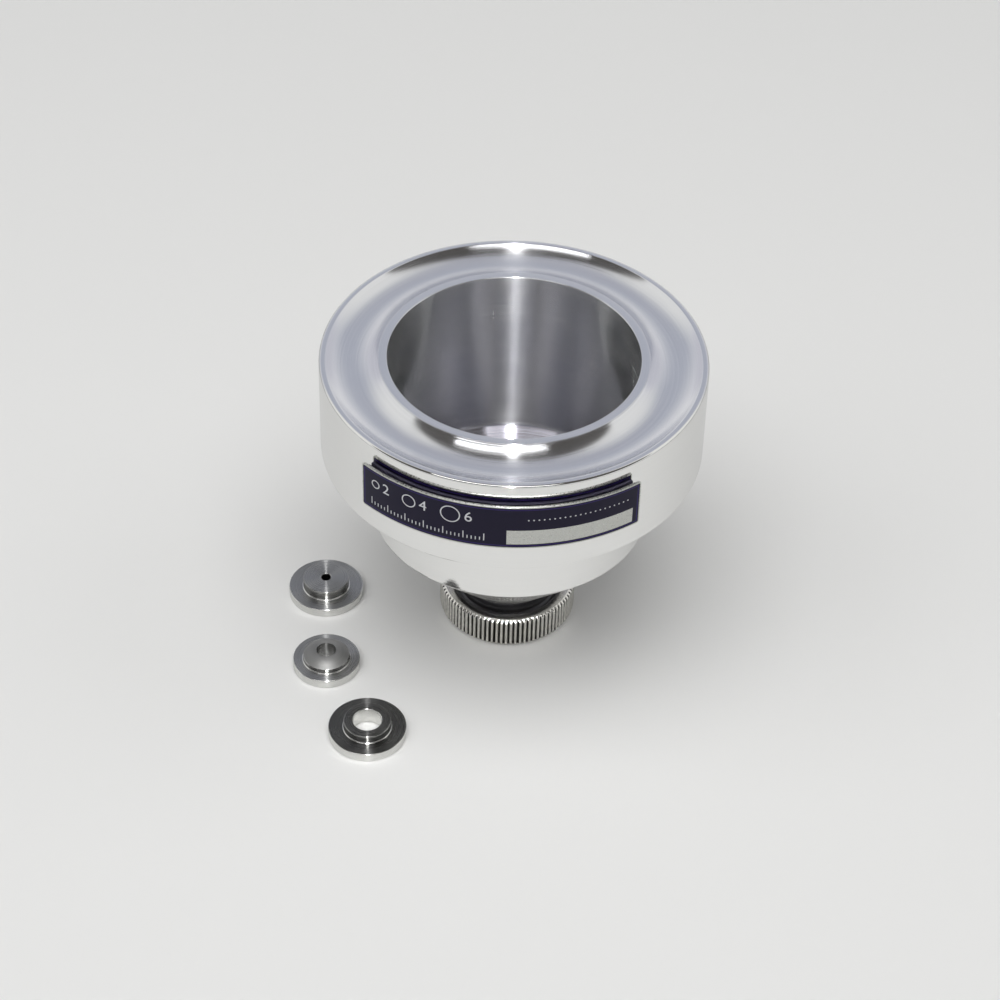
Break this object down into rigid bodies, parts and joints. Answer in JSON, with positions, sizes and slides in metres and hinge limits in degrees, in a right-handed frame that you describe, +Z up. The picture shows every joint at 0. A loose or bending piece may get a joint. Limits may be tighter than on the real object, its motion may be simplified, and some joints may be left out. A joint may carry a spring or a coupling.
{
  "type": "viscosity flow cup",
  "caption": "Polished metal flow cup with an overflow gallery, conical bottom, knurled nozzle nut and loose spare nozzles; timing its outflow gives a liquid's viscosity.",
  "frame": {"origin": "centre of the bottom of the box round the whole set, on the surface that the nut and the loose nozzles stand on", "axes": "+Z up along the cup's axis; -Y towards the label; the loose nozzles lie on the -X, -Y side"},
  "size_m": [0.0846, 0.086, 0.0666],
  "materials": {
    "polished_cup": "turned and polished bright",
    "knurled_nickel": "straight knurl, bright",
    "turned_steel": "fine turned stainless",
    "black_rubber": "moulded",
    "label_black": "satin print on thin metal with a bare edge",
    "tape_foam": "dark foam"
  },
  "bodies": {
    "cup": {"cup_body": "polished_cup", "label_plate": "label_black", "label_tape": "tape_foam"},
    "nozzle_carriage": {"fitted_nozzle": "turned_steel", "nozzle_seal": "black_rubber"},
    "nut": {"nozzle_nut": "knurled_nickel"},
    "loose_2mm": {"nozzle_2mm": "turned_steel"},
    "loose_4mm": {"nozzle_4mm": "turned_steel"},
    "loose_6mm": {"nozzle_6mm": "turned_steel"}
  },
  "joints": [
    {"name": "nozzle_lower", "type": "slide", "parent": "cup", "child": "nozzle_carriage", "axis": [0, 0, -1], "range_m": [0, 0.0021]},
    {"name": "nut_turn", "type": "hinge", "parent": "nozzle_carriage", "child": "nut", "pos_m": [0.00387, 0.00465, 0.00345], "axis": [0, 0, -1], "range_deg": [0, 720]},
    {"name": "nozzle_2mm_lift", "type": "slide", "parent": "cup", "child": "loose_2mm", "axis": [0, 0, 1], "range_m": [0, 0.03]},
    {"name": "nozzle_4mm_lift", "type": "slide", "parent": "cup", "child": "loose_4mm", "axis": [0, 0, 1], "range_m": [0, 0.03]},
    {"name": "nozzle_6mm_lift", "type": "slide", "parent": "cup", "child": "loose_6mm", "axis": [0, 0, 1], "range_m": [0, 0.03]}
  ],
  "couplings": [
    {"joint": "nozzle_lower", "follows": "nut_turn", "m_per_rad": 0.00015915}
  ]
}
